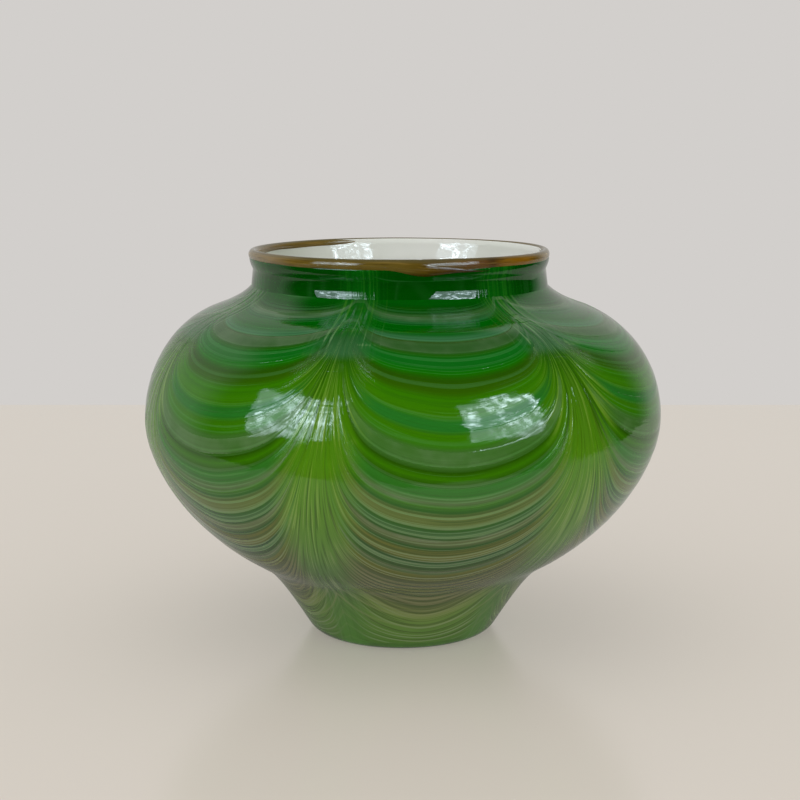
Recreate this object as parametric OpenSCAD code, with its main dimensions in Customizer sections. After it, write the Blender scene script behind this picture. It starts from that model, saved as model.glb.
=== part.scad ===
// Hand blown art glass vase with combed trails.
// Squat round belly on a small foot, short neck, amber wrap round the lip.
// Origin: centre of the foot, on the table. +Z up, the front faces -Y.

/* [Overall size] */
// Height from the table to the top of the lip
vase_h = 150; // [125:1:180]
// Widest diameter of the belly
belly_d = 200; // [166:1:240]
// Height of the widest part of the belly
belly_z = 85.5; // [75:0.5:95]

/* [Foot and waist] */
// Diameter of the flat foot where it meets the table
foot_d = 70; // [58:1:84]
// Angle at which the foot rises off the table
foot_angle = 58; // [45:1:75]
// How far the waist point lies outside the edge of the foot
waist_reach = 24; // [18:0.5:30]
// Height of the waist point, where the foot turns into the belly
waist_z = 30; // [25:0.5:36]
// Slope of the wall at the waist point
waist_angle = 30; // [22:1:40]
// Width of the ground hollow that leaves a rest ring under the foot
pontil_d = 44; // [34:1:52]
// Depth of the ground hollow
pontil_depth = 1.6; // [1:0.1:3]

/* [Shoulder and neck] */
// Outside diameter of the neck at its narrowest
neck_d = 111.4; // [93:0.2:134]
// Depth of the narrowest part of the neck below the top of the lip
neck_drop = 10.4; // [8:0.2:13]
// How far the shoulder point lies outside the neck
shoulder_reach = 16.2; // [13:0.2:19]
// Depth of the shoulder point below the top of the lip
shoulder_drop = 22; // [18:0.5:26]
// Slope of the wall at the shoulder point
shoulder_angle = 19; // [12:1:30]
// How far the rim flares out beyond the neck
rim_flare = 2; // [1:0.1:3]

/* [Glass] */
// Thickness of the green casing
casing_t = 1.7; // [1.4:0.1:2.1]
// Thickness of the opal lining
lining_t = 1.4; // [1.1:0.1:1.7]
// Thickness of the casing under the middle of the bowl
casing_floor_t = 8; // [6.5:0.1:10]
// Thickness of the amber bead along the lip
bead_d = 3.3; // [2.7:0.1:4]
// Width of the flat on which the bead sits
bead_seat = 2.4; // [2:0.1:2.6]

/* [Combed trails] */
// Distance up the wall from the foot to the lowest trail
trails_low = 34; // [28:0.5:40]
// Distance down the wall from the rim to the highest trail
trails_drop = 23; // [19:0.5:27]
// Strength of the comb's pull: about how far a trail rises half way to a comb line
comb_rise = 12; // [8:0.5:13]
// Softness of the hook that a trail makes at a comb line
comb_softness = 0.15; // [0.12:0.01:0.2]
// Roundness of the lowest part of a swag
swag_rounding = 0.25; // [0.15:0.05:0.35]
// How far past the rim the comb was lifted off
comb_overrun = 6; // [0:1:12]
// Distance over which the pull of the comb fades
comb_fade = 120; // [100:5:150]
// Thickness of the crest of a trail
trail_t = 0.5; // [0.4:0.05:0.7]
// Gap between a trail and the casing
trail_seat = 0.15; // [0.1:0.05:0.3]

/* [Hidden] */

// Colours of the glass
OPAL = "#efece4";
GREEN = "#3f7d1c";
AMBER = "#9c6a2e";
THREAD = "#5b5a38";
TAN = "#8a8450";
TEAL = "#2f8148";
SILVER = "#7b8f78";

// Full turn of a revolved piece
$fn = 96;
// Steps along each stretch of the outline
CURVE_STEPS = 12;

// Handles of the outline's curves, as shares of the stretch that they bend
FOOT_PULL = 0.8;
WAIST_LOW_PULL = 0.27;
WAIST_HIGH_PULL = 0.58;
BELLY_LOW_PULL = 0.25;
BELLY_HIGH_PULL = 0.46;
SHOULDER_LOW_PULL = 0.64;
SHOULDER_HIGH_PULL = 0.72;
NECK_LOW_PULL = 0.26;
NECK_HIGH_PULL = 0.4;
FLOOR_PULL = 0.55;
FLOOR_END_PULL = 0.5;

// Main radii and heights
foot_r = foot_d / 2;
belly_r = belly_d / 2;
neck_r = neck_d / 2;
waist_r = foot_r + waist_reach;
shoulder_r = neck_r + shoulder_reach;
neck_z = vase_h - neck_drop;
shoulder_z = vase_h - shoulder_drop;
wall_t = casing_t + lining_t;
bead_z = vase_h - bead_d / 2;
rim_z = bead_z - sqrt(pow(bead_d / 2, 2) - pow(bead_seat / 2, 2));
rim_r = neck_r + rim_flare;
bead_r = rim_r - wall_t / 2;

// Points on a cubic curve, without its first point
function curve_point(a, b, c, d, t) =
    pow(1 - t, 3) * a + 3 * pow(1 - t, 2) * t * b + 3 * (1 - t) * t * t * c + pow(t, 3) * d;
function curve(a, b, c, d) =
    [for (i = [1 : CURVE_STEPS]) curve_point(a, b, c, d, i / CURVE_STEPS)];
function heading(angle) = [cos(angle), sin(angle)];

// The wall from the waist point up to the rim, moved inwards by inset
function waist_point(inset) = [waist_r, waist_z] + inset * heading(waist_angle + 90);
function upper_wall(inset) =
    let (waist = waist_point(inset),
         belly = [belly_r - inset, belly_z],
         shoulder = [shoulder_r, shoulder_z] - inset * heading(90 - shoulder_angle),
         neck = [neck_r - inset, neck_z],
         rim = [rim_r - inset, rim_z],
         waist_way = heading(waist_angle),
         shoulder_way = heading(180 - shoulder_angle),
         lower_span = belly_z - waist_z,
         upper_span = shoulder_z - belly_z,
         reach_span = belly_r - shoulder_r,
         neck_span = neck_z - shoulder_z,
         rim_span = rim_z - neck_z)
    concat(
        curve(waist, waist + WAIST_HIGH_PULL * lower_span * waist_way,
              belly - [0, BELLY_LOW_PULL * lower_span], belly),
        curve(belly, belly + [0, BELLY_HIGH_PULL * upper_span],
              shoulder - SHOULDER_LOW_PULL * reach_span * shoulder_way, shoulder),
        curve(shoulder, shoulder + SHOULDER_HIGH_PULL * shoulder_reach * shoulder_way,
              neck - [0, NECK_LOW_PULL * neck_span], neck),
        curve(neck, neck + [0, NECK_HIGH_PULL * rim_span],
              rim - [0, NECK_HIGH_PULL * rim_span], rim));

// The outside of the casing, from the edge of the foot to the rim
outside = concat(
    [[foot_r, 0]],
    curve([foot_r, 0], [foot_r, 0] + FOOT_PULL * waist_z * heading(foot_angle),
          waist_point(0) - WAIST_LOW_PULL * waist_z * heading(waist_angle), waist_point(0)),
    upper_wall(0));

// A surface inside the wall, from the axis to the rim
function bowl(inset, floor_z) =
    let (waist = waist_point(inset))
    concat(
        [[0, floor_z]],
        curve([0, floor_z], [FLOOR_PULL * waist[0], floor_z],
              waist - FLOOR_END_PULL * (waist[1] - floor_z) * heading(waist_angle), waist),
        upper_wall(inset));
joint_face = bowl(casing_t, casing_floor_t);
inside = bowl(wall_t, casing_floor_t + lining_t);

function backwards(points) = [for (i = [len(points) - 1 : -1 : 0]) points[i]];

// The ground hollow under the foot, from the axis to its edge
pontil_r = pontil_d / 2;
pontil = concat(
    [[0, pontil_depth]],
    curve([0, pontil_depth], [pontil_r / 2, pontil_depth], [pontil_r * 3 / 4, 0], [pontil_r, 0]));

// Distance up the outside of the wall at each of its points
function lengths(points) =
    [for (i = 0, sum = 0; i < len(points);
          i = i + 1, sum = sum + (i < len(points) ? norm(points[i] - points[i - 1]) : 0)) sum];
up_wall = lengths(outside);
wall_len = up_wall[len(up_wall) - 1];
radius_up = [for (i = [0 : len(outside) - 1]) [up_wall[i], outside[i][0]]];
height_up = [for (i = [0 : len(outside) - 1]) [up_wall[i], outside[i][1]]];
function wall_point(s) = [lookup(s, radius_up), lookup(s, height_up)];
// Outward normal of the wall
NORMAL_STEP = 2;
function wall_normal(s) =
    let (way = wall_point(s + NORMAL_STEP) - wall_point(s - NORMAL_STEP))
    [way[1], -way[0]] / norm(way);

// Comb lines: direction at the rim, and how far each leans by the foot
COMB_LINES = [[-67.5, -20], [-14, -18], [37.5, 13.5], [97, 10], [160, -8], [225, 6]];
comb_count = len(COMB_LINES);
function comb_line(i, s) =
    let (line = COMB_LINES[i % comb_count], turn = 360 * floor(i / comb_count))
    line[0] + line[1] * pow(1 - s / wall_len, 2) + turn;

// Height that a trail reaches, u being -1 and 1 at the comb lines, 0 half way
comb_end = wall_len + comb_overrun;
function rounded(u) =
    (norm([u, swag_rounding]) - swag_rounding) / (norm([1, swag_rounding]) - swag_rounding);
function rise(u) =
    comb_rise * (1 / (1 + comb_softness - rounded(u)) - 1 / (1 + comb_softness));
function pulled(laid, u) =
    (laid + rise(u) * comb_end / comb_fade) / (1 + rise(u) / comb_fade);

// Places along a swag at which a trail has a section, closer near the comb lines
SWAG_PLACES = [-1, -0.97, -0.93, -0.86, -0.76, -0.64, -0.49, -0.33, -0.165,
               0, 0.165, 0.33, 0.49, 0.64, 0.76, 0.86, 0.93, 0.97];

// How far the wall bulges past a straight line between two places along a swag
WIDEST_STEP = 0.17;
function bulge_along(i, s) =
    let (gap = comb_line(i + 1, s) - comb_line(i, s))
    wall_point(s)[0] * (1 - cos(gap * WIDEST_STEP / 4));
// How far the wall bulges past a straight line across a trail
function bulge_across(laid, wide, u) =
    let (s = pulled(laid, u),
         edges = (wall_point(pulled(laid - wide / 2, u)) + wall_point(pulled(laid + wide / 2, u))) / 2)
    max(0, (wall_point(s) - edges) * wall_normal(s));

// How far the wall bulges past a straight line from one section of a trail to another
function bulge_up(laid, u, other_u) =
    let (low = pulled(laid, u),
         high = pulled(laid, other_u),
         s = (low + high) / 2,
         middle = (wall_point(low) + wall_point(high)) / 2)
    max(0, (wall_point(s) - middle) * wall_normal(s));

// A trail's point in space, lifted off the casing
function trail_point(i, u, laid, lift) =
    let (s = pulled(laid, u),
         left = comb_line(i, s),
         right = comb_line(i + 1, s),
         side = left + (right - left) * (u + 1) / 2,
         spot = wall_point(s) + lift * wall_normal(s))
    [spot[0] * sin(side), -spot[0] * cos(side), spot[1]];
function trail_section(i, k, laid, wide) =
    let (count = len(SWAG_PLACES),
         u = SWAG_PLACES[k],
         before = SWAG_PLACES[(k + count - 1) % count],
         after = SWAG_PLACES[(k + 1) % count],
         up = max(bulge_up(laid, u, before), bulge_up(laid, u, after)),
         lift = trail_seat + bulge_across(laid, wide, u) + bulge_along(i, pulled(laid, u)) + up)
    [trail_point(i, u, laid - wide / 2, lift),
     trail_point(i, u, laid, lift + trail_t),
     trail_point(i, u, laid + wide / 2, lift)];

// A closed ring of glass that hangs in swags between the comb lines
module trail(place, wide) {
    laid = trails_low + place * (wall_len - trails_drop - trails_low);
    places = [0 : len(SWAG_PLACES) - 1];
    sections = [for (i = [0 : comb_count - 1], k = places) trail_section(i, k, laid, wide)];
    count = len(sections);
    corners = [for (section = sections, corner = section) corner];
    sides = [for (k = [0 : count - 1], j = [0 : 2])
        let (next = (k + 1) % count, other = (j + 1) % 3)
        [[3 * k + j, 3 * next + j, 3 * next + other], [3 * k + j, 3 * next + other, 3 * k + other]]];
    polyhedron(corners, [for (pair = sides, side = pair) side]);
}

module opal_lining()
    color(OPAL)
    rotate_extrude()
    polygon(concat(joint_face, backwards(inside)));

module green_casing()
    color(GREEN)
    rotate_extrude()
    polygon(concat(pontil, outside, backwards(joint_face)));

module lip_wrap()
    color(AMBER)
    rotate_extrude()
    intersection() {
        translate([bead_r, bead_z]) circle(d = bead_d);
        translate([bead_r - bead_d, rim_z]) square([2 * bead_d, bead_d]);
    }

module thread_1() color(THREAD) trail(0, 1.2);
module thread_2() color(THREAD) trail(0.03, 1.2);
module thread_3() color(THREAD) trail(0.06, 1.2);
module thread_4() color(THREAD) trail(0.09, 1.2);
module tan_trail_1() color(TAN) trail(0.14, 4.6);
module tan_trail_2() color(TAN) trail(0.26, 6);
module tan_trail_3() color(TAN) trail(0.39, 6);
module teal_trail_1() color(TEAL) trail(0.48, 4.4);
module teal_trail_2() color(TEAL) trail(0.65, 3.4);
module teal_trail_3() color(TEAL) trail(0.81, 5);
module silver_trail_1() color(SILVER) trail(0.18, 2.4);
module silver_trail_2() color(SILVER) trail(0.32, 2.4);
module silver_trail_3() color(SILVER) trail(0.445, 2);
module silver_trail_4() color(SILVER) trail(0.57, 7);
module silver_trail_5() color(SILVER) trail(0.87, 7);
module silver_trail_6() color(SILVER) trail(1, 4.4);

opal_lining();
green_casing();
lip_wrap();
thread_1();
thread_2();
thread_3();
thread_4();
tan_trail_1();
tan_trail_2();
tan_trail_3();
teal_trail_1();
teal_trail_2();
teal_trail_3();
silver_trail_1();
silver_trail_2();
silver_trail_3();
silver_trail_4();
silver_trail_5();
silver_trail_6();
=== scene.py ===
"""Looks of a hand blown art glass vase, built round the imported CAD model.

Every surface follows the outline of the CAD pieces. The combed pattern is laid out by one rule,
which gives each point of the wall the height at which its glass lay before it was combed.
"""

import math

import bpy
import numpy as np
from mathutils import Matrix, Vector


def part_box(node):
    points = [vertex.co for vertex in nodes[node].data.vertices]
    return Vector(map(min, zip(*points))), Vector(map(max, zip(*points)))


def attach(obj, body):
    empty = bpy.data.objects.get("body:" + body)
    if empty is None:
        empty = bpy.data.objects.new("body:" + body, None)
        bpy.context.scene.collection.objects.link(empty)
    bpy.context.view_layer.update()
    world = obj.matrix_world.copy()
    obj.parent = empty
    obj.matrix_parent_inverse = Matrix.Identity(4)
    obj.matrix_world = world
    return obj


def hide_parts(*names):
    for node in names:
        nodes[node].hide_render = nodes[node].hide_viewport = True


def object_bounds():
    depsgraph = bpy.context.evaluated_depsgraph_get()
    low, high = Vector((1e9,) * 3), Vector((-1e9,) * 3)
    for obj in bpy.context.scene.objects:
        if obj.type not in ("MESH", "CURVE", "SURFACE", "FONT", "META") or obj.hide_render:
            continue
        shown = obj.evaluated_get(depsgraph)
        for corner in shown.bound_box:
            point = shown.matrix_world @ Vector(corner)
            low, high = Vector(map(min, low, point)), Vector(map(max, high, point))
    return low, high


MM = 0.001

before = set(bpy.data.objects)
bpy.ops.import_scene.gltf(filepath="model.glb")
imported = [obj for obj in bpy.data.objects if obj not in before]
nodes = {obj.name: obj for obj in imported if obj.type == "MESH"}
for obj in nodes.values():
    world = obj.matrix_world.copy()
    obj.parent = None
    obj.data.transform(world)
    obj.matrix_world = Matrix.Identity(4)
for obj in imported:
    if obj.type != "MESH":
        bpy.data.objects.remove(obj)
cad_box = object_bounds()
scene = bpy.context.scene


# ---------------------------------------------------------------- camera

CAMERA_PLACE = (0.0, -686.4 * MM, 207.2 * MM)
CAMERA_PITCH = math.radians(9.63)
CAMERA_LENS = 80.1
CAMERA_SHIFT = -0.0025


def make_camera():
    data = bpy.data.cameras.new("camera")
    data.lens = CAMERA_LENS
    data.sensor_width = 36.0
    data.shift_x = CAMERA_SHIFT
    camera = bpy.data.objects.new("camera", data)
    scene.collection.objects.link(camera)
    camera.location = CAMERA_PLACE
    camera.rotation_euler = (math.pi / 2 - CAMERA_PITCH, 0.0, 0.0)
    scene.camera = camera


# ---------------------------------------------------------------- the outline, from the CAD

FAR = 1.0
LEVEL_MARGIN = 0.03 * MM
HIT_MARGIN = 0.3 * MM
STRAIGHT_MARGIN = 0.006 * MM
NORMAL_STEP = 0.8 * MM
AXIS_MARGIN = 0.01 * MM


def ray_radius(node, height, outwards):
    """Radius at which a level ray meets a CAD node, from the axis or from outside."""
    start = (0.0 if outwards else FAR, 0.0, height)
    way = (1.0 if outwards else -1.0, 0.0, 0.0)
    hit, place, _, _ = nodes[node].ray_cast(start, way)
    return place.x if hit else None


def ray_height(node, radius, upwards):
    """Height at which an upright ray meets a CAD node, from below or from above."""
    start = (radius, 0.0, -FAR if upwards else FAR)
    way = (0.0, 0.0, 1.0 if upwards else -1.0)
    return nodes[node].ray_cast(start, way)[1].z


def drop_straight(points):
    """Leaves out the points that lie on a straight line between their neighbours."""
    kept = [points[0]]
    for point, after in zip(points[1:-1], points[2:]):
        way = after - kept[-1]
        off = point - kept[-1]
        if abs(way[0] * off[1] - way[1] * off[0]) / np.linalg.norm(way) > STRAIGHT_MARGIN:
            kept.append(point)
    return np.array(kept + [points[-1]])


def ring_points(node, inside):
    """(radius, height) of the rings of a CAD node that face the axis, or away from it."""
    co = np.array([v.co[:] for v in nodes[node].data.vertices])
    rings = np.unique(np.round(np.c_[np.hypot(co[:, 0], co[:, 1]), co[:, 2]], 6), axis=0)
    low, top = rings[:, 1].min(), rings[:, 1].max()
    kept = []
    for radius, height in rings:
        level = min(max(height, low + LEVEL_MARGIN), top - LEVEL_MARGIN)
        hit = ray_radius(node, level, inside)
        if hit is not None and abs(hit - radius) < HIT_MARGIN:
            kept.append((radius, height))
    kept = np.array(sorted(kept, key=lambda ring: (ring[1], ring[0])))
    gaps = np.linalg.norm(np.diff(kept, axis=0), axis=1)
    return drop_straight(kept[np.r_[True, gaps > HIT_MARGIN]])


class Outline:
    """A smooth line through (radius, height) points, read by its length."""

    def __init__(self, points):
        self.points = points
        gaps = np.linalg.norm(np.diff(points, axis=0), axis=1)
        self.knots = np.r_[0, np.cumsum(gaps)]
        self.length = self.knots[-1]
        self.slopes = np.gradient(self.points, self.knots, axis=0, edge_order=2)

    def at(self, s):
        s = np.clip(s, 0, self.length)
        i = np.clip(np.searchsorted(self.knots, s, side="right") - 1, 0, len(self.knots) - 2)
        span = (self.knots[i + 1] - self.knots[i])[..., None]
        t = (s - self.knots[i])[..., None] / span
        return (
            (2 * t**3 - 3 * t**2 + 1) * self.points[i]
            + (t**3 - 2 * t**2 + t) * span * self.slopes[i]
            + (3 * t**2 - 2 * t**3) * self.points[i + 1]
            + (t**3 - t**2) * span * self.slopes[i + 1]
        )

    def normal(self, s):
        """The outward normal, as (radial, upward)."""
        way = self.at(s + NORMAL_STEP) - self.at(s - NORMAL_STEP)
        way /= np.linalg.norm(way, axis=-1, keepdims=True)
        return np.stack([way[..., 1], -way[..., 0]], axis=-1)


def from_axis(node, points, upwards):
    return np.vstack([[0.0, ray_height(node, AXIS_MARGIN, upwards)], points])


wall = Outline(ring_points("green_casing", inside=False))
joint_points = ring_points("opal_lining", inside=False)
joint = Outline(from_axis("opal_lining", joint_points, upwards=True))
bowl_points = ring_points("opal_lining", inside=True)
bowl = Outline(from_axis("opal_lining", bowl_points, upwards=False))


# ---------------------------------------------------------------- the combed pattern

# Comb lines as in the CAD: degrees round from the front at the rim, and lean by the foot
COMB_LINES = [(-67.5, -20), (-14, -18), (37.5, 13.5), (97, 10), (160, -8), (225, 6)]
COMB_COUNT = len(COMB_LINES)
COMB_RISE = 12 * MM
COMB_END = wall.length + 6 * MM
COMB_FADE = 120 * MM
SOFTNESS = 0.06
SWAG_ROUNDING = 0.25
FOOT_SOFTNESS = 0.3
LOWEST_TRAIL = 26 * MM


def comb_line(i, s):
    """Direction of comb line i, in degrees, at a distance s up the wall."""
    rim, lean = COMB_LINES[i % COMB_COUNT]
    return rim + lean * (1 - s / wall.length) ** 2 + 360 * (i // COMB_COUNT)


def direction(c, s):
    """Direction in radians of a place c comb lines round, at a distance s up the wall."""
    lines = np.stack([comb_line(i, s) for i in range(COMB_COUNT + 1)])
    i = np.clip(np.floor(c).astype(int), 0, COMB_COUNT - 1)
    before = np.take_along_axis(lines, i[None], 0)[0]
    after = np.take_along_axis(lines, i[None] + 1, 0)[0]
    return np.radians(before + (after - before) * (c - i))


def nearness(c):
    """0 half way between two comb lines, 1 on a comb line."""
    return np.abs(2 * (c - np.floor(c)) - 1)


def rounded(u):
    """Nearness with the swags' lowest places rounded."""
    k = SWAG_ROUNDING
    return (np.sqrt(u**2 + k**2) - k) / (math.sqrt(1 + k**2) - k)


def rise(u, softness=SOFTNESS):
    return COMB_RISE * (1 / (1 + softness - rounded(u)) - 1 / (1 + softness))


def pulled(laid, u, softness=SOFTNESS):
    """Distance up the wall that the comb pulled glass to from where it was laid."""
    pull = rise(u, softness)
    return (laid + pull * COMB_END / COMB_FADE) / (1 + pull / COMB_FADE)


def laid(s, u, softness=SOFTNESS):
    """Distance up the wall at which the glass now at s was laid."""
    upper = s - rise(u, softness) * (COMB_END - s) / COMB_FADE
    lower = LOWEST_TRAIL * s / pulled(LOWEST_TRAIL, u, softness)
    return np.maximum(upper, lower)


# Places up the wall at which each set of drawn streaks is evenly spaced
STREAK_LEVELS = {
    "streaks_waist": 58 * MM,
    "streaks_belly": 94 * MM,
    "streaks_shoulder": 134 * MM,
    "streaks_neck": 172 * MM,
}
LEAST_PULL = 0.3
NEXT_COMB = 200
# From this level up the streaks run straight up the neck
NECK_LEVEL = 170 * MM


def crossing(s, u, level):
    """Rounded nearness at which the glass line through a place crosses a level of the wall."""
    was_at = s - rise(u) * (COMB_END - s) / COMB_FADE
    pull = (level - was_at) * COMB_FADE / (COMB_END - level) / COMB_RISE
    return 1 + SOFTNESS - 1 / np.maximum(pull + 1 / (1 + SOFTNESS), LEAST_PULL)


def drawn(c, s, level):
    """Signed distance from the comb line, in mm, of the glass line through a place, at a level."""
    line = np.round(c)
    half_swag = wall.at(np.array(level))[0] * math.pi / COMB_COUNT / MM
    if level > NECK_LEVEL:
        return 2 * (c - line) * half_swag
    off = (crossing(s, 1.0, level) - crossing(s, nearness(c), level)) * half_swag
    return np.sign(c - line) * off


def comb_index(c):
    return np.round(c) % COMB_COUNT


def smooth_step(x, low, high):
    t = np.clip((x - low) / (high - low), 0, 1)
    return t * t * (3 - 2 * t)


# Ripples along the swags and ridges along the comb lines: height and pitch in mm, and phase
RIPPLES = [(0.012, 6.3, 1.0), (0.010, 3.9, 2.1), (0.006, 2.7, 0.4)]
RIDGES = [(0.036, 5.1, 0.3), (0.032, 3.1, 1.9), (0.018, 2.0, 4.0)]
# How the ripples' phase wanders round the vase: size, waves in a turn, and phase
RIPPLE_DRIFT = [(1.6, 3, 0), (1.1, 7, 1)]
# Phase of the ridges from one comb line to the next, and from one level to the next
RIDGE_SHIFT = 2.3
RIDGE_LEVEL_SHIFT = 1.7
RIDGE_REACH = 40 * MM
# Nearness to a comb line over which ripples give way to ridges
RIDGES_FROM, RIDGES_FULL = 0.62, 0.86
# The foot and the top of the neck are smooth
RIPPLES_FROM, RIPPLES_FULL = 30 * MM, 50 * MM
RIM_SMOOTH = 9 * MM


def waves(table, along, drift):
    height = 0
    for size, pitch, phase in table:
        height = height + size * MM * np.sin(2 * math.pi * along / pitch + phase + drift)
    return height


def near_level(s, level, reach):
    return np.clip(1 - np.abs(s - level) / reach, 0, 1)


def ripple(c, s):
    """Height of the combed ripples above the smooth wall."""
    u = nearness(c)
    turn = 2 * math.pi * c / COMB_COUNT
    drift = sum(size * np.sin(count * turn + phase) for size, count, phase in RIPPLE_DRIFT)
    swags = waves(RIPPLES, laid(s, u) / MM, drift)
    ridges, weight = 0, 0
    for k, level in enumerate(STREAK_LEVELS.values()):
        share = near_level(s, level, RIDGE_REACH) + 1e-6
        shift = RIDGE_SHIFT * comb_index(c) + RIDGE_LEVEL_SHIFT * k
        ridges = ridges + share * waves(RIDGES, drawn(c, s, level), shift)
        weight = weight + share
    column = smooth_step(u, RIDGES_FROM, RIDGES_FULL)
    height = swags * (1 - column) + column * ridges / weight
    height = height * smooth_step(s, RIPPLES_FROM, RIPPLES_FULL)
    return height * (1 - smooth_step(s, wall.length - RIM_SMOOTH, wall.length))


# How far the neck and the shoulder of the blown form lie off its axis, and at what share of
# its height
NECK_LEFT = 0.9 * MM
NECK_FROM, NECK_FULL = 0.72, 0.95
SHOULDER_RIGHT = 0.5 * MM
SHOULDER_AT, SHOULDER_REACH = 0.68, 0.16
# Shallow dents: share of the depth, dents in a turn, slant with height, and phase
DENT = 0.16 * MM
DENTS = [(1.0, 3, 5, 0.6), (0.7, 5, -9, 0), (0.5, 2, 17, 2)]
DENT_FULL_RADIUS = 60 * MM


def blown(points):
    """Points with the slight unevenness of a blown form."""
    x, y, z = points[..., 0], points[..., 1], points[..., 2]
    height = z / cad_box[1][2]
    sway = -NECK_LEFT * smooth_step(height, NECK_FROM, NECK_FULL)
    sway = sway + SHOULDER_RIGHT * np.exp(-(((height - SHOULDER_AT) / SHOULDER_REACH) ** 2))
    turn = np.arctan2(y, x)
    reach = np.hypot(x, y)
    dents = sum(
        share * np.sin(count * turn + slant * height + phase)
        for share, count, slant, phase in DENTS
    )
    depth = DENT * np.clip(reach / DENT_FULL_RADIUS, 0, 1)
    swell = 1 + depth * dents / np.maximum(reach, 1 * MM)
    return np.stack([x * swell + sway, y * swell, z], axis=-1)


def on_wall(c, s, lift):
    """Points of the wall, lifted along its normal, at c comb lines round and s up."""
    spot = wall.at(s) + lift[..., None] * wall.normal(s)
    side = direction(c, s)
    return np.stack(
        [spot[..., 0] * np.sin(side), -spot[..., 0] * np.cos(side), spot[..., 1]], axis=-1
    )


# ---------------------------------------------------------------- meshes


def make_mesh(name, points, faces, attributes=None):
    mesh = bpy.data.meshes.new(name)
    mesh.vertices.add(len(points))
    mesh.vertices.foreach_set("co", np.ascontiguousarray(points, np.float32).ravel())
    sizes = np.array([len(face) for face in faces], np.int32)
    mesh.loops.add(int(sizes.sum()))
    mesh.loops.foreach_set("vertex_index", np.concatenate(faces).astype(np.int32))
    mesh.polygons.add(len(faces))
    mesh.polygons.foreach_set("loop_start", np.r_[0, np.cumsum(sizes)[:-1]].astype(np.int32))
    mesh.update(calc_edges=True)
    mesh.validate()
    mesh.polygons.foreach_set("use_smooth", np.ones(len(mesh.polygons), bool))
    for key, values in (attributes or {}).items():
        made = mesh.attributes.new(key, "FLOAT", "POINT")
        made.data.foreach_set("value", np.ascontiguousarray(values, np.float32).ravel())
    piece = bpy.data.objects.new(name, mesh)
    scene.collection.objects.link(piece)
    return piece


def grid_faces(rows, columns, closed_rows=False):
    """Four-sided faces of a grid of points that closes round its columns."""
    r = np.arange(rows if closed_rows else rows - 1)[:, None]
    c = np.arange(columns)[None, :]
    after, beside = (r + 1) % rows, (c + 1) % columns
    corners = [r * columns + c, r * columns + beside, after * columns + beside, after * columns + c]
    return np.stack([np.broadcast_to(k, (len(r), columns)) for k in corners], -1).reshape(-1, 4)


def shell(name, points, attributes=None):
    """A closed skin from rows of points, whose first and last rows each close on the axis."""
    rows, columns = points.shape[:2]
    poles = np.stack([points[0].mean(0), points[-1].mean(0)])
    body = points[1:-1].reshape(-1, 3)
    faces = list(grid_faces(rows - 2, columns))
    low, high = len(body), len(body) + 1
    top = (rows - 3) * columns
    for k in range(columns):
        beside = (k + 1) % columns
        faces.append(np.array([beside, k, low]))
        faces.append(np.array([top + k, top + beside, high]))
    kept = {}
    for key, values in (attributes or {}).items():
        ends = [values[0].mean(), values[-1].mean()]
        kept[key] = np.r_[values[1:-1].ravel(), ends]
    return make_mesh(name, np.vstack([body, poles]), faces, kept)


def revolve(profile, sides):
    """Rows of points of an outline turned round the axis; sides holds directions in radians."""
    r, z = profile[:, :1], profile[:, 1:]
    return np.stack(
        [r * np.sin(sides), -r * np.cos(sides), z + np.zeros_like(sides)], axis=-1
    )


def bend(corner, start, end, count=5):
    """A rounded corner: points on a curve from start to end that bends at corner."""
    t = np.linspace(0, 1, count)[:, None]
    return (1 - t) ** 2 * start + 2 * (1 - t) * t * corner + t**2 * end


# ---------------------------------------------------------------- glass pieces

# Places round the vase for each swag, closer together near its comb lines
SWAG_STEPS = 92
SWAG_CROWDING = 0.72
WALL_ROWS = 150
HEEL_BEND = 4.5 * MM
HEEL_POINTS = 10
RIM_BEND = 0.5 * MM
UNDERSIDE_ROWS = 14
JOINT_ROWS = 16


def swag_places(steps):
    t = np.arange(steps) / steps
    places = t - SWAG_CROWDING * np.sin(2 * math.pi * t) / (2 * math.pi)
    return np.concatenate([i + places for i in range(COMB_COUNT)])


def pattern(c, s):
    """What the glass materials read at each point; lengths are in mm."""
    u = nearness(c)
    looks = {
        "laid_height": laid(s, u) / MM,
        "foot_height": laid(s, u, FOOT_SOFTNESS) / MM,
        "nearness": u,
        "wall_height": s / MM + 0 * u,
    }
    for name, level in STREAK_LEVELS.items():
        looks[name] = drawn(c, s, level) + NEXT_COMB * comb_index(c)
    return looks


def make_casing():
    c = swag_places(SWAG_STEPS)
    s = np.linspace(HEEL_BEND, wall.length - RIM_BEND, WALL_ROWS)
    cc, ss = np.meshgrid(c, s)
    outside = on_wall(cc, ss, ripple(cc, ss))
    foot_sides = direction(c, np.full_like(c, s[0]))
    rim_sides = direction(c, np.full_like(c, s[-1]))

    foot_edge = wall.at(np.array(0.0))
    radii = np.linspace(0, foot_edge[0] - HEEL_BEND, UNDERSIDE_ROWS)
    heights = [ray_height("green_casing", max(r, AXIS_MARGIN), upwards=True) for r in radii]
    underside = np.stack([radii, heights], axis=-1)
    heel = bend(foot_edge, underside[-1], wall.at(np.array(HEEL_BEND)), HEEL_POINTS)[1:-1]

    edge, inner_edge = wall.at(np.array(wall.length)), joint.at(np.array(joint.length))
    rim = bend(edge, wall.at(s[-1:])[0], edge - [RIM_BEND, 0])[1:]
    inner = joint.at(np.linspace(joint.length, 0, JOINT_ROWS))
    lower = np.vstack([underside, heel])
    upper = np.vstack([rim, [inner_edge], inner[1:]])

    points = np.concatenate([revolve(lower, foot_sides), outside, revolve(upper, rim_sides)])
    low_s = np.zeros((len(lower), len(c)))
    high_s = np.full((len(upper), len(c)), wall.length)
    all_s = np.concatenate([low_s, ss, high_s])
    all_c = np.broadcast_to(c, all_s.shape)
    piece = shell("casing_skin", blown(points), pattern(all_c, all_s))
    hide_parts("green_casing")
    return piece


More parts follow.
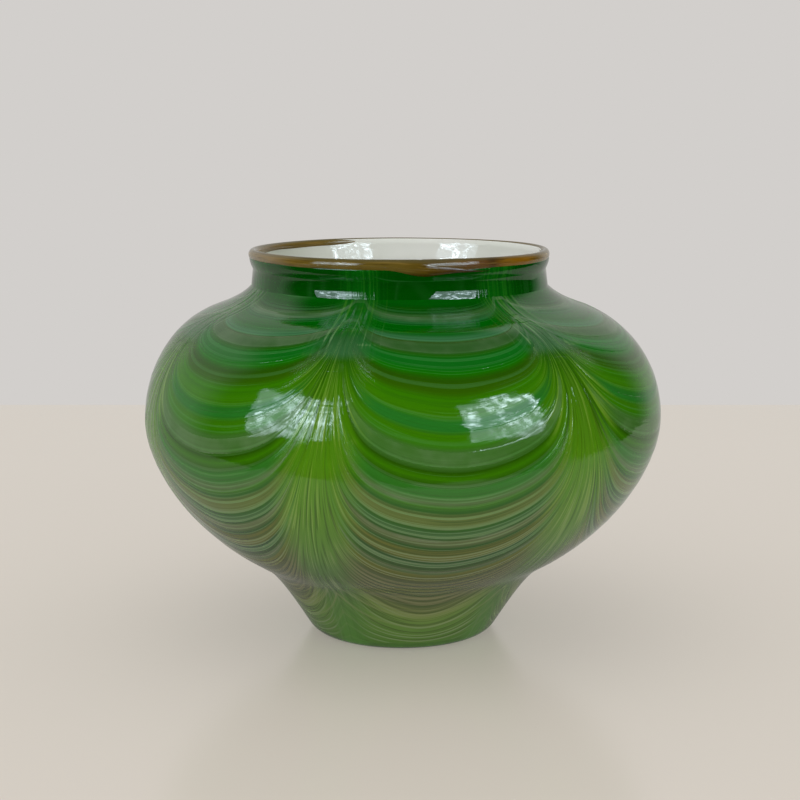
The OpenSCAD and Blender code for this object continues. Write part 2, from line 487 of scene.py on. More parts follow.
LINING_SIDES = 256
LINING_ROWS = 90
# The lining's own rim stands up inside the wrap, to this far below the wrap's top
LINING_RIM_DROP = 0.55 * MM
LINING_RIM_LEAN = 0.4 * MM


def make_lining():
    sides = 2 * math.pi * np.arange(LINING_SIDES) / LINING_SIDES
    outside = joint.at(np.linspace(0, joint.length, LINING_ROWS // 2))
    inside = bowl.at(np.linspace(bowl.length, 0, LINING_ROWS))
    top = cad_box[1][2] - LINING_RIM_DROP
    outer, inner = (outside[-1][0], top), (inside[0][0] + LINING_RIM_LEAN, top)
    rim = bend(np.array([(outer[0] + inner[0]) / 2, top + LINING_RIM_DROP / 2]), outer, inner)
    profile = np.vstack([outside, rim, inside])
    piece = shell("lining_skin", blown(revolve(profile, sides)))
    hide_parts("opal_lining")
    return piece


TRAIL_STEPS = 72
TRAIL_ACROSS = 7
TRAIL_CREST = 0.08 * MM
# Nearer to a comb line than this a trail is drawn out to nothing
TRAIL_NEAREST = 0.93
TRAIL_SUNK = 0.03 * MM
TRAIL_DEEP = 0.35 * MM
# A trail thinner than the first sinks from sight, and is full at the second
TRAIL_LEAST_WIDTH = 0.25 * MM
TRAIL_FULL_WIDTH = 0.9 * MM


def make_trail(node, name, height, width):
    """A melted-in trail: a low rounded band whose edges sink into the casing."""
    c = swag_places(TRAIL_STEPS)
    across = np.linspace(-1, 1, TRAIL_ACROSS)
    cc, xx = np.meshgrid(c, across, indexing="ij")
    u = np.minimum(nearness(cc), TRAIL_NEAREST)
    s = pulled(height + xx * width / 2, u)
    radius = wall.at(s)[..., 0]
    steepness = COMB_RISE / (1 + SOFTNESS - rounded(u)) ** 2 * (COMB_END - s) / COMB_FADE
    steepness = steepness / (radius * math.pi / COMB_COUNT)
    real_width = width / np.sqrt(1 + steepness**2)
    shown = smooth_step(real_width, TRAIL_LEAST_WIDTH, TRAIL_FULL_WIDTH)
    crest = TRAIL_CREST * (1 - xx**2) * shown - TRAIL_SUNK - TRAIL_DEEP * (1 - shown)
    top = on_wall(cc, s, ripple(cc, s) + crest)
    back = on_wall(cc, s, ripple(cc, s) + np.minimum(crest, 0) - TRAIL_DEEP)[:, ::-1]
    ring = np.concatenate([top, back], axis=1)
    rows, columns = ring.shape[:2]
    faces = list(grid_faces(rows, columns, closed_rows=True)[:, ::-1])
    looks = pattern(np.concatenate([cc, cc[:, ::-1]], 1), np.concatenate([s, s[:, ::-1]], 1))
    piece = make_mesh(name, blown(ring.reshape(-1, 3)), faces, looks)
    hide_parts(node)
    return piece


# Width of each trail as laid, and the record's slot that it takes its finish from
TRAILS = {
    "thread_1": (1.2 * MM, "umber_thread_glass"),
    "thread_2": (1.2 * MM, "umber_thread_glass"),
    "thread_3": (1.2 * MM, "umber_thread_glass"),
    "thread_4": (1.2 * MM, "umber_thread_glass"),
    "tan_trail_1": (4.6 * MM, "tan_trail_glass"),
    "tan_trail_2": (6.0 * MM, "tan_trail_glass"),
    "tan_trail_3": (6.0 * MM, "tan_trail_glass"),
    "teal_trail_1": (4.4 * MM, "teal_trail_glass"),
    "teal_trail_2": (3.4 * MM, "teal_trail_glass"),
    "teal_trail_3": (5.0 * MM, "teal_trail_glass"),
    "silver_trail_1": (2.4 * MM, "silver_trail_glass"),
    "silver_trail_2": (2.4 * MM, "silver_trail_glass"),
    "silver_trail_3": (2.0 * MM, "silver_trail_glass"),
    "silver_trail_4": (7.0 * MM, "silver_trail_glass"),
    "silver_trail_5": (7.0 * MM, "silver_trail_glass"),
    "silver_trail_6": (4.4 * MM, "silver_trail_glass"),
}


WALL_SAMPLES = 800


def trail_height(node, width):
    """Laid height of the middle of a CAD trail, from its lowest point, half way along a swag."""
    lengths = np.linspace(0, wall.length, WALL_SAMPLES)
    heights = wall.at(lengths)[:, 1]
    return np.interp(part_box(node)[0].z, heights, lengths) + width / 2


LIP_STEPS = 420
LIP_ROUND = 20
LIP_START = math.radians(1)
LIP_LAP = math.radians(34)
LIP_TAPER = math.radians(8)
LIP_SPREAD = 1.06
LIP_SAG = 0.15 * MM
# The wrap stands taller and higher in front, and its lap bulges downwards
LIP_FRONT_RISE = 0.9 * MM
LIP_FRONT_TALL = 4.9 * MM
LIP_BACK_TALL = 3.3 * MM
LIP_BULGE = 0.2
LIP_BULGE_AT = math.radians(8)
LIP_BULGE_REACH = math.radians(9)
# Behind, on the right, the wrap is thin and the lining shows inside it
LIP_THIN_FROM = math.radians(103)
LIP_THIN_TO = math.radians(191)
LIP_THIN_EDGE = math.radians(22)
# How uneven the rod is: share of its size, waves in a turn, and phase
LIP_UNEVEN = [(0.04, 3, 1), (0.03, 7, 0), (0.015, 16, 0)]
LIP_WAVER = 0.06 * MM
# What the thin stretch, the lapping tail and the tail's sliding end take off the rod's size
LIP_THIN_LOSS, LIP_TAIL_LOSS, LIP_END_LOSS = 0.35, 0.15, 0.6
# How far each of them moves the rod outwards, in shares of its size
LIP_THIN_SHIFT, LIP_TAIL_SHIFT, LIP_END_SHIFT = 0.4, 0.3, 0.45
# How far the tail's end slides down the wrap
LIP_END_DROP = 0.97


def make_lip():
    """The amber wrap: one rod wound round the rim, whose tail laps over its start."""
    low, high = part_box("lip_wrap")
    outer, inner = high.x, ray_radius("lip_wrap", (low.z + high.z) / 2, outwards=True)
    rod, middle = (outer - inner) / 2, (outer + inner) / 2
    end = 2 * math.pi
    turn = np.linspace(0, end + LIP_LAP, LIP_STEPS)
    side = LIP_START + turn
    facing = 0.5 + 0.5 * np.cos(side)
    slid = smooth_step(turn, end + LIP_BULGE_AT / 2, end + LIP_LAP)
    outward = smooth_step(turn, end - LIP_TAPER, end + LIP_TAPER)
    begun = smooth_step(turn, -LIP_TAPER / 5, LIP_TAPER)
    thin = smooth_step(side, LIP_THIN_FROM - LIP_THIN_EDGE, LIP_THIN_FROM + LIP_THIN_EDGE)
    thin = thin * (1 - smooth_step(side, LIP_THIN_TO - LIP_THIN_EDGE, LIP_THIN_TO + LIP_THIN_EDGE))
    uneven = 1 + sum(share * np.sin(count * turn + phase) for share, count, phase in LIP_UNEVEN)
    bulge = LIP_BULGE * np.exp(-(((turn - end - LIP_BULGE_AT) / LIP_BULGE_REACH) ** 2))

    tall = (LIP_BACK_TALL + (LIP_FRONT_TALL - LIP_BACK_TALL) * facing) * uneven
    top = high.z - LIP_SAG + LIP_FRONT_RISE * facing + LIP_WAVER * np.sin(4 * turn + 0.5)
    bottom = top - tall * (1 + bulge)
    top = top - (top - bottom) * LIP_END_DROP * slid
    half_tall = (top - bottom) / 2 * begun
    size = rod * LIP_SPREAD * uneven * begun * (1 - LIP_THIN_LOSS * thin)
    size = size * (1 - LIP_TAIL_LOSS * outward - LIP_END_LOSS * slid)
    shift = LIP_THIN_SHIFT * thin + LIP_TAIL_SHIFT * outward + LIP_END_SHIFT * slid
    reach = middle + rod * shift

    # Each ring runs backwards, so that the faces look outwards
    around = 2 * math.pi * np.arange(LIP_ROUND)[::-1] / LIP_ROUND
    r = reach[:, None] + size[:, None] * np.cos(around)
    z = ((top + bottom) / 2)[:, None] + half_tall[:, None] * np.sin(around)
    points = np.stack([r * np.sin(side)[:, None], -r * np.cos(side)[:, None], z], axis=-1)
    looks = {
        "along": (turn * middle / MM)[:, None] + 0 * r,
        "round": around[None, :] + 0 * r,
        "crown": np.sin(around)[None, :] + 0 * r,
    }
    piece = shell("lip_wrap_bead", blown(points), looks)
    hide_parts("lip_wrap")
    return piece


# ---------------------------------------------------------------- materials


def linear(code):
    """A colour written as hexadecimal sRGB, in the shader's linear values."""
    parts = [int(code[k : k + 2], 16) / 255 for k in (1, 3, 5)]
    return [p / 12.92 if p <= 0.04045 else ((p + 0.055) / 1.055) ** 2.4 for p in parts] + [1.0]


class Nodes:
    """Short ways to add shader nodes to a tree."""

    def __init__(self, tree):
        self.tree = tree

    def put(self, socket, value):
        if hasattr(value, "is_linked"):
            self.tree.links.new(value, socket)
        else:
            socket.default_value = value

    def value(self, name):
        node = self.tree.nodes.new("ShaderNodeAttribute")
        node.attribute_name = name
        return node.outputs["Fac"]

    def math(self, operation, *values):
        node = self.tree.nodes.new("ShaderNodeMath")
        node.operation = operation
        for socket, value in zip(node.inputs, values):
            self.put(socket, value)
        return node.outputs[0]

    def plus(self, a, b):
        return self.math("ADD", a, b)

    def times(self, a, b):
        return self.math("MULTIPLY", a, b)

    def times_plus(self, a, b, c):
        return self.math("MULTIPLY_ADD", a, b, c)

    def vector(self, x, y):
        node = self.tree.nodes.new("ShaderNodeCombineXYZ")
        for socket, value in zip(node.inputs, (x, y)):
            self.put(socket, value)
        return node.outputs[0]

    def split(self, vector):
        node = self.tree.nodes.new("ShaderNodeSeparateXYZ")
        self.put(node.inputs[0], vector)
        return node.outputs

    def place(self):
        return self.tree.nodes.new("ShaderNodeTexCoord").outputs["Object"]

    def noise(self, vector, scale, detail=2.0, roughness=0.5):
        node = self.tree.nodes.new("ShaderNodeTexNoise")
        self.put(node.inputs["Vector"], vector)
        node.inputs["Scale"].default_value = scale
        node.inputs["Detail"].default_value = detail
        node.inputs["Roughness"].default_value = roughness
        return node.outputs["Fac"]

    def span(self, value, low, high, to_low=0.0, to_high=1.0, kind="SMOOTHSTEP"):
        node = self.tree.nodes.new("ShaderNodeMapRange")
        node.interpolation_type = kind
        for socket, number in zip(node.inputs, (value, low, high, to_low, to_high)):
            self.put(socket, number)
        return node.outputs[0]

    def ramp(self, value, stops, low, high):
        """Colours at places from low to high; stops are (place, colour)."""
        node = self.tree.nodes.new("ShaderNodeValToRGB")
        ramp = node.color_ramp
        scaled = self.span(value, low, high, kind="LINEAR")
        self.put(node.inputs[0], scaled)
        while len(ramp.elements) < len(stops):
            ramp.elements.new(0.5)
        for element, (place, code) in zip(ramp.elements, stops):
            element.position = (place - low) / (high - low)
            element.color = linear(code)
        return node.outputs["Color"]

    def blend(self, share, a, b):
        """A number between a and b."""
        node = self.tree.nodes.new("ShaderNodeMix")
        node.data_type = "FLOAT"
        for socket, value in zip([node.inputs[k] for k in (0, 2, 3)], (share, a, b)):
            self.put(socket, value)
        return node.outputs[0]

    def mix(self, share, a, b):
        """A colour between a and b."""
        node = self.tree.nodes.new("ShaderNodeMix")
        node.data_type = "RGBA"
        for socket, value in zip([node.inputs[k] for k in (0, 6, 7)], (share, a, b)):
            self.put(socket, value)
        return node.outputs[2]


class Shader(Nodes):
    """A material and its nodes."""

    def __init__(self, name):
        self.material = bpy.data.materials.new(name)
        self.material.use_nodes = True
        super().__init__(self.material.node_tree)
        self.surface = self.tree.nodes["Principled BSDF"]

    def set(self, **values):
        """Numbers and colours that are the same all over the surface."""
        for key, value in values.items():
            self.surface.inputs[key.replace("_", " ")].default_value = value

    def colour(self, colour):
        self.put(self.surface.inputs["Base Color"], colour)

    def bump(self, height, depth):
        node = self.tree.nodes.new("ShaderNodeBump")
        node.inputs["Strength"].default_value = 1.0
        node.inputs["Distance"].default_value = depth
        self.put(node.inputs["Height"], height)
        self.put(self.surface.inputs["Normal"], node.outputs[0])


GLASS_ROUGHNESS = 0.035
GLASS_IOR = 1.5
OPAL_ROUGHNESS = 0.06

# The combed glass from the foot up to the belly
LEAF = "#467228"
STALK = "#66883c"
STRAW = "#788846"
MOSS = "#4e5e2e"
UMBER = "#6e6c42"
BRONZE = "#364818"
OLIVE = "#626828"
LICHEN = "#546e3e"
SAGE = "#62704a"
WILLOW = "#5c6a3e"
FOREST = "#245214"
PINE = "#265024"
FERN = "#466e3c"
IVY = "#225a0e"
PEAR = "#5e6f30"
GRASS = "#3a7412"
CLOVER = "#307220"
# and from the belly up to the neck
DEEP_GREEN = "#265200"
BRIGHT_GREEN = "#387602"
LAWN = "#327400"
VEIL = "#3e6c28"
TEAL = "#247020"
DEEP_OLIVE = "#2e5a00"
JADE = "#126a00"
EMERALD = "#0c6414"
LAUREL = "#1c5a04"
MIST = "#345c2a"
DARK_MOSS = "#2a4a00"
SILVER_MIST = "#3a7046"
SILVER_FERN = "#2e6a38"
NECK_GREEN = "#005a04"
NECK_MIST = "#1c5c28"
NECK_DARK = "#004400"

# Bands by the height at which the glass was laid, in mm up the wall
LOWER_BANDS = [
    (0, LEAF),
    (15, STALK),
    (21, STRAW),
    (27, MOSS),
    (30, UMBER),
    (35, MOSS),
    (37.5, UMBER),
    (40, MOSS),
    (43.5, UMBER),
    (47, MOSS),
    (49.3, BRONZE),
    (50.5, OLIVE),
    (55.5, OLIVE),
    (56.5, LICHEN),
    (58.5, SAGE),
    (60.2, FOREST),
    (62.5, FERN),
    (65.4, PINE),
    (66.6, OLIVE),
    (72, OLIVE),
    (73.4, FOREST),
    (75.5, WILLOW),
    (77.6, WILLOW),
    (79, FOREST),
    (81, FERN),
    (83.4, IVY),
    (84.6, PEAR),
    (90.2, PEAR),
    (91.4, IVY),
    (93.5, GRASS),
    (95.4, LICHEN),
    (98, CLOVER),
]
UPPER_BANDS = [
    (98, CLOVER),
    (101.4, CLOVER),
    (102.6, DEEP_GREEN),
    (105, BRIGHT_GREEN),
    (107.6, DEEP_GREEN),
    (109, VEIL),
    (114.8, VEIL),
    (117, LAWN),
    (120.5, BRIGHT_GREEN),
    (122, TEAL),
    (124.8, TEAL),
    (127, BRIGHT_GREEN),
    (132.5, LAWN),
    (135, DEEP_OLIVE),
    (139.5, DEEP_GREEN),
    (142, JADE),
    (144.5, EMERALD),
    (148, EMERALD),
    (149.6, LAUREL),
    (151, MIST),
    (155.2, MIST),
    (156, DARK_MOSS),
    (157, SILVER_MIST),
    (159, SILVER_FERN),
    (160.6, NECK_GREEN),
    (166.5, NECK_GREEN),
    (168.6, NECK_MIST),
    (172.8, MIST),
    (175, NECK_DARK),
    (182, NECK_GREEN),
    (190, NECK_DARK),
]
BANDS_MEET = 98
BANDS_TOP = 200

# Glass drawn up along the comb lines, by height up the wall in mm: its ground and its streaks
DRAWN_BASE = [
    (0, "#4e8230"),
    (38, "#587a3c"),
    (48, "#4c6c34"),
    (58, "#52763a"),
    (70, "#5a8434"),
    (90, "#56861c"),
    (110, "#4e860a"),
    (138, "#3a7000"),
    (147, "#225800"),
    (150, "#326238"),
    (158, "#285a2c"),
    (163, "#0c5e0a"),
    (175, "#125e10"),
    (190, "#045608"),
]
DRAWN_PALE = [
    (45, "#7e8c66"),
    (75, "#7f9c52"),
    (110, "#769a30"),
    (146, "#5f8c2a"),
    (156, "#688c60"),
    (166, "#5c8a4c"),
    (178, "#5a962e"),
    (189, "#2f7a1c"),
]
DRAWN_DEEP = [
    (45, "#3c5a2c"),
    (80, "#355c14"),
    (120, "#2f5400"),
    (160, "#053c06"),
    (190, "#022e02"),
]
# Fine lines along the swags, by height up the wall in mm
LINES_PALE = [(60, "#8d9a74"), (110, "#5f9a50"), (160, "#4a8a50")]
LINES_DEEP = [(60, "#3a4a22"), (110, "#2c5a10"), (160, "#044008")]
# Fine threads wound close together at the waist: turns of phase for each mm of laid height
THREAD_TURNS = 2 * math.pi / 3.7
THREAD_WANDER = 4.0
THREADS_PALE = "#7b7a54"
THREADS_DEEP = "#3e5028"
FOOT_PALE = "#96986c"
FOOT_DEEP = "#41602a"
MILK = "#a9b79c"

# How far in mm the bands wander slowly from place to place, and finely along each line
SLOW_DRIFT = 3.4
FINE_DRIFT = 1.6
# How far in mm the drawn colours reach up and down along single streaks
RAGGED_DRIFT = 16.0
RAGGED_EDGE = 0.3
# Stretches in mm over which a look comes or goes, by laid height
WAIST_COMES = (17, 28)
WAIST_GOES = (51, 46)
# and by height up the wall
LINES_CALM = (90, 108)
FOOT_COMES = (8, 34)
FOOT_GOES = (46, 30)
STREAKS_COME = (20, 42)
STREAKS_GO = (158, 172)
STREAK_SETS_MEET = 8


def drawn_streaks(shader, wall_height):
    """Noise along the drawn streaks, from the set that is evenly spaced nearest this height."""
    blended = None
    levels = [level / MM for level in STREAK_LEVELS.values()]
    slow = shader.times(wall_height, 0.022)
    for k, name in enumerate(STREAK_LEVELS):
        across = shader.value(name)
        lines = shader.noise(shader.vector(across, slow), 0.85, detail=2.5, roughness=0.6)
        if blended is None:
            blended = lines
        else:
            low, high = levels[k - 1] + STREAK_SETS_MEET, levels[k] - STREAK_SETS_MEET
            blended = shader.blend(shader.span(wall_height, low, high), blended, lines)
    return blended


def swag_colour(shader, wall_height, slow):
    """Colour of the swags, in bands with fine lines, and the noise of those lines."""
    laid_height = shader.value("laid_height")
    height = shader.plus(laid_height, shader.times_plus(slow, SLOW_DRIFT, -SLOW_DRIFT / 2))
    fibres = shader.noise(shader.vector(height, slow), 0.55, detail=5, roughness=0.65)
    height = shader.plus(height, shader.times_plus(fibres, FINE_DRIFT, -FINE_DRIFT / 2))
    lower = shader.ramp(height, LOWER_BANDS, 0, BANDS_MEET)
    upper = shader.ramp(height, UPPER_BANDS, BANDS_MEET, BANDS_TOP)
    colour = shader.mix(shader.math("GREATER_THAN", height, BANDS_MEET), lower, upper)

    fine = shader.noise(shader.vector(height, slow), 0.9, detail=3, roughness=0.6)
    calm = shader.span(wall_height, *LINES_CALM, 1.0, 0.35)
    pale = shader.times(calm, shader.span(fine, 0.53, 0.6, 0.0, 0.55))
    deep = shader.times(calm, shader.span(fine, 0.47, 0.4, 0.0, 0.62))
    colour = shader.mix(pale, colour, shader.ramp(wall_height, LINES_PALE, 0, BANDS_TOP))
    colour = shader.mix(deep, colour, shader.ramp(wall_height, LINES_DEEP, 0, BANDS_TOP))

    turns = shader.times_plus(slow, THREAD_WANDER, shader.times(laid_height, THREAD_TURNS))
    threads = shader.span(shader.math("SINE", turns), -0.2, 0.45)
    at_waist = shader.span(laid_height, *WAIST_COMES)
    at_waist = shader.times(at_waist, shader.span(laid_height, *WAIST_GOES))
    colour = shader.mix(shader.times(at_waist, 0.6), colour, linear(THREADS_PALE))
    threads = shader.times(threads, shader.times(at_waist, 0.8))
    return shader.mix(threads, colour, linear(THREADS_DEEP)), fine


def column_colour(shader, wall_height, streaks):
    """Colour of the glass that is drawn up along the comb lines."""
    ragged = shader.times_plus(streaks, RAGGED_DRIFT, -RAGGED_DRIFT / 2)
    colour = shader.ramp(shader.plus(wall_height, ragged), DRAWN_BASE, 0, BANDS_TOP)
    strength = shader.span(wall_height, *STREAKS_COME, 0.25, 1.0)
    strength = shader.times(strength, shader.span(wall_height, *STREAKS_GO, 1.0, 0.35))
    pale = shader.times(strength, shader.span(streaks, 0.525, 0.62, 0.0, 0.8))
    deep = shader.times(strength, shader.span(streaks, 0.47, 0.38, 0.0, 0.8))
    colour = shader.mix(pale, colour, shader.ramp(wall_height, DRAWN_PALE, 0, BANDS_TOP))
    return shader.mix(deep, colour, shader.ramp(wall_height, DRAWN_DEEP, 0, BANDS_TOP))


def with_foot_lines(shader, colour, wall_height, slow):
    """The colour with the softer swags of the foot drawn over it."""
    foot_height = shader.value("foot_height")
    lines = shader.noise(shader.vector(foot_height, slow), 0.6, detail=3, roughness=0.6)
    on_foot = shader.span(wall_height, *FOOT_GOES)
    on_foot = shader.times(on_foot, shader.span(wall_height, *FOOT_COMES, 0.25, 1.0))
    pale = shader.times(on_foot, shader.span(lines, 0.51, 0.62, 0.0, 0.4))
    deep = shader.times(on_foot, shader.span(lines, 0.48, 0.38, 0.0, 0.4))
    return shader.mix(deep, shader.mix(pale, colour, linear(FOOT_PALE)), linear(FOOT_DEEP))


def combed_glass(name, milkiness=0.0):
    """Cased green glass with the combed pattern; a trail's own glass can be a little milkier."""
    shader = Shader(name)
    wall_height = shader.value("wall_height")
    slow = shader.noise(shader.place(), 16)
    swags, fine = swag_colour(shader, wall_height, slow)
    streaks = drawn_streaks(shader, wall_height)
    column = column_colour(shader, wall_height, streaks)
    edge = shader.times_plus(streaks, RAGGED_EDGE, -RAGGED_EDGE / 2)
    near = shader.plus(shader.value("nearness"), edge)
    in_column = shader.span(near, 0.6, 0.9, 0.0, 0.92)
    colour = shader.mix(in_column, swags, column)
    colour = with_foot_lines(shader, colour, wall_height, slow)
    if milkiness:
        milk = shader.noise(shader.place(), 60, detail=3)
        colour = shader.mix(shader.span(milk, 0.35, 0.7, 0.0, milkiness), colour, linear(MILK))
    shader.colour(colour)
    shader.bump(shader.blend(in_column, shader.times(fine, 0.25), streaks), 0.1 * MM)
    shader.set(Roughness=GLASS_ROUGHNESS, IOR=GLASS_IOR)
    return shader.material


OPAL_WHITE = "#f3f3ee"
OPAL_CLOUD = "#e6e9e0"
# The inside is painted darker and greener on the left, over this stretch across the mouth: painted
# shade where the left of the inside lies out of the light
OPAL_LEFT_SHADE = "#bcc2b0"
OPAL_LEFT_SHADE_FROM, OPAL_LEFT_SHADE_FULL = -12 * MM, -58 * MM


def opal_glass():
    shader = Shader("opal_glass")
    place = shader.place()
    cloud = shader.span(shader.noise(place, 22, detail=3), 0.3, 0.7)
    colour = shader.mix(cloud, linear(OPAL_WHITE), linear(OPAL_CLOUD))
    across = shader.split(place)[0]
    # Painted shade: the left of the inside is mixed toward a darker greenish grey
    left_shade = shader.span(across, OPAL_LEFT_SHADE_FROM, OPAL_LEFT_SHADE_FULL, 0.0, 0.85)
    shader.colour(shader.mix(left_shade, colour, linear(OPAL_LEFT_SHADE)))
    shader.bump(shader.noise(place, 35, detail=1), 0.12 * MM)
    shader.set(Roughness=OPAL_ROUGHNESS, IOR=GLASS_IOR)
    return shader.material


TEA = "#5a4c2c"
RUST = "#5c4020"
BARK = "#3a200c"
AMBER = "#7e560a"
OCHRE = "#6e581e"
BUFF = "#8e7c5a"
SAND = "#85724e"
HONEY = "#7a6742"
TAN = "#725e2c"
WALNUT = "#62521e"
DARK_AMBER = "#56440e"
BLACK_AMBER = "#140a02"
# Colours along the lip's wrap, by the length of rod laid, in mm from its start near the front
WRAP_COLOURS = [
    (0, TEA),
    (14, TEA),
    (24, RUST),
    (31, RUST),
    (34, BARK),
    (40, AMBER),
    (52, AMBER),
    (61, OCHRE),
    (70, BUFF),
    (82, BUFF),
    (104, SAND),
    (150, HONEY),
    (190, HONEY),
    (206, TAN),
    (226, TAN),
    (242, HONEY),
    (262, BUFF),
    (282, BUFF),
    (296, SAND),
    (308, OCHRE),
    (322, WALNUT),
    (350, WALNUT),
    (362, DARK_AMBER),
    (372, BARK),
    (379, BLACK_AMBER),
]
WRAP_END = 400


WRAP_PALE = "#9a7c40"
WRAP_DEEP = "#35250c"
WRAP_OLIVE = "#6a5f30"
# Painted by the way the rod faces: a darker grey olive on its top, and painted shade on its
# underside
WRAP_PAINTED_TOP = "#57533a"
WRAP_UNDERSIDE_SHADE = "#2e2206"


def amber_glass():
    """The wrap's rod: streaks that twist along it, a top painted darker grey olive by the way it
    faces, and painted shade on its underside.
    """
    shader = Shader("amber_glass")
    along, around, crown = (shader.value(name) for name in ("along", "round", "crown"))
    lengthwise = shader.times(along, 0.045)
    twist = shader.times_plus(around, 2.4, shader.times(along, 0.02))
    fine = shader.noise(shader.vector(lengthwise, twist), 1.5, detail=4, roughness=0.6)
    slow = shader.noise(shader.vector(lengthwise, shader.times(around, 0.8)), 0.9)
    colour = shader.ramp(along, WRAP_COLOURS, 0, WRAP_END)
    for noise, low, high, share, code in (
        (fine, 0.53, 0.66, 0.4, WRAP_PALE),
        (fine, 0.46, 0.35, 0.55, WRAP_DEEP),
        (slow, 0.5, 0.64, 0.25, WRAP_OLIVE),
        # The last two are painted by the way the rod faces: the top, and the painted shade
        # underneath
        (crown, 0.45, 0.9, 0.6, WRAP_PAINTED_TOP),
        (crown, -0.35, -0.9, 0.75, WRAP_UNDERSIDE_SHADE),
    ):
        colour = shader.mix(shader.span(noise, low, high, 0.0, share), colour, linear(code))
    shader.colour(colour)
    shader.bump(fine, 0.06 * MM)
    shader.set(Roughness=GLASS_ROUGHNESS, IOR=GLASS_IOR)
    return shader.material


# The floor's own light, which keeps the shadow round the foot soft
FLOOR_GLOW = 0.24
FLOOR_GLOW_COLOUR = "#fdf5ea"
FLOOR_ROUGHNESS = 0.2
FLOOR_COLOURS = ("#b4aca2", "#b8b0a6")
# The table top in the glass: its light near the vase, where a shadow is painted, and far from it,
# and where each is reached
TABLE_COLOUR = "#fffcf3"
TABLE_SHADOW_GLOW, TABLE_LIT = 0.2, 0.48
TABLE_SHADOW_REACH, TABLE_LIT_REACH = 0.03, 0.16


def pale_floor():
    shader = Shader("pale_floor")
    cloud = shader.noise(shader.place(), 3)
    shader.colour(shader.mix(cloud, *map(linear, FLOOR_COLOURS)))
    glow = {"Emission_Color": linear(FLOOR_GLOW_COLOUR), "Emission_Strength": FLOOR_GLOW}
    shader.set(Roughness=FLOOR_ROUGHNESS, **glow)
    return shader.material


def lit_table():
    """What the glass mirrors: a pale table top that glows, with a painted shadow under the vase."""
    shader = Shader("lit_table")
    x, y, _ = shader.split(shader.place())
    squares = shader.plus(shader.times(x, x), shader.times(y, y))
    from_axis = shader.math("SQRT", squares)
    # Painted shadow: the glow is dimmer near the foot of the vase
    glow = shader.span(from_axis, TABLE_SHADOW_REACH, TABLE_LIT_REACH, TABLE_SHADOW_GLOW, TABLE_LIT)
    node = shader.tree.nodes.new("ShaderNodeEmission")
    node.inputs["Color"].default_value = linear(TABLE_COLOUR)
    shader.put(node.inputs["Strength"], glow)
    output = shader.tree.nodes["Material Output"]
    shader.put(output.inputs["Surface"], node.outputs[0])
    return shader.material


def give(piece, material):
    piece.data.materials.clear()
    piece.data.materials.append(material)


# ---------------------------------------------------------------- floor, room and lights

FLOOR_REACH = 1.2
FLOOR_FAR = 0.515
# The table top that the glass mirrors has a bowed front edge, near the vase
TABLE_FRONT = -0.2
TABLE_BOW = 1.15
TABLE_HALF = 0.75
TABLE_STEPS = 24
TABLE_DROP = 0.2 * MM


def make_floor():
    """A pale floor for the eye, and the table top that shows in the glass instead of it."""
    x, y = FLOOR_REACH, FLOOR_FAR
    corners = [(-x, -x, 0), (x, -x, 0), (x, y, 0), (-x, y, 0)]
    floor = make_mesh("floor", np.array(corners, float), [np.arange(4)])
    floor.visible_glossy = False
    across = np.linspace(-TABLE_HALF, TABLE_HALF, TABLE_STEPS)
    low = np.full(TABLE_STEPS, -TABLE_DROP)
    front = np.stack([across, TABLE_FRONT + TABLE_BOW * across**2, low], axis=-1)
    far = [(TABLE_HALF, y, -TABLE_DROP), (-TABLE_HALF, y, -TABLE_DROP)]
    table = make_mesh("table_top", np.vstack([front, far]), [np.arange(TABLE_STEPS + 2)])
    table.visible_camera = False
    table.visible_diffuse = False
    table.visible_shadow = False
    give(floor, pale_floor())
    give(table, lit_table())


# Ends of the bright wall, round from straight behind, and the softness of its ends
BACK_WALL_LEFT = math.radians(-82)
BACK_WALL_RIGHT = math.radians(47)
BACK_WALL_SOFT = math.radians(12)
BACK_WALL_TOP = math.sin(math.radians(47))
BACK_WALL_TOP_SOFT = 0.08
WALL_LIGHT = "#bcbab6"
DARK_ROOM = "#1c1c1a"
BACKGROUND = "#d2cfcc"
SOFT_FILL = "#e6e6e6"


def make_room():
    """A bright wall behind and a dim room in front; the camera itself sees plain pale grey."""
    world = bpy.data.worlds.new("room")
    scene.world = world
    world.use_nodes = True
    tree = world.node_tree
    background = tree.nodes["Background"]
    tools = Nodes(tree)
    way = tree.nodes.new("ShaderNodeTexCoord").outputs["Generated"]
    x, y, z = tools.split(way)
    side = tools.math("ARCTAN2", x, y)
    left, right = (
        tools.span(side, end - BACK_WALL_SOFT, end + BACK_WALL_SOFT)
        for end in (BACK_WALL_LEFT, BACK_WALL_RIGHT)
    )
    wall_share = tools.math("SUBTRACT", left, right)
    above, below = BACK_WALL_TOP + BACK_WALL_TOP_SOFT, BACK_WALL_TOP - BACK_WALL_TOP_SOFT
    wall_share = tools.times(wall_share, tools.span(z, above, below))
    seen = tools.mix(wall_share, linear(DARK_ROOM), linear(WALL_LIGHT))
    rays = tree.nodes.new("ShaderNodeLightPath")
    light = tools.mix(rays.outputs["Is Diffuse Ray"], seen, linear(SOFT_FILL))
    light = tools.mix(rays.outputs["Is Camera Ray"], light, linear(BACKGROUND))
    tree.links.new(light, background.inputs["Color"])


WINDOW_DISTANCE = 2.2
WINDOW_WIDTH = 1.35
WINDOW_HEIGHT = 1.2
# Direction round from the front and rise of each window, in degrees
WINDOWS = {"window_left": (-52, 21), "window_right": (44, 21)}
WINDOW_POWER = 1.0
WINDOW_TINT = (0.74, 0.9, 1.0)
# The sky grows from leaf-dark at the window's low edge to its full light this much higher
WINDOW_LOW = 0.2
WINDOW_FADE = 0.6
LEAF_GLOW = 14.0
SKY_GLOW = 125.0
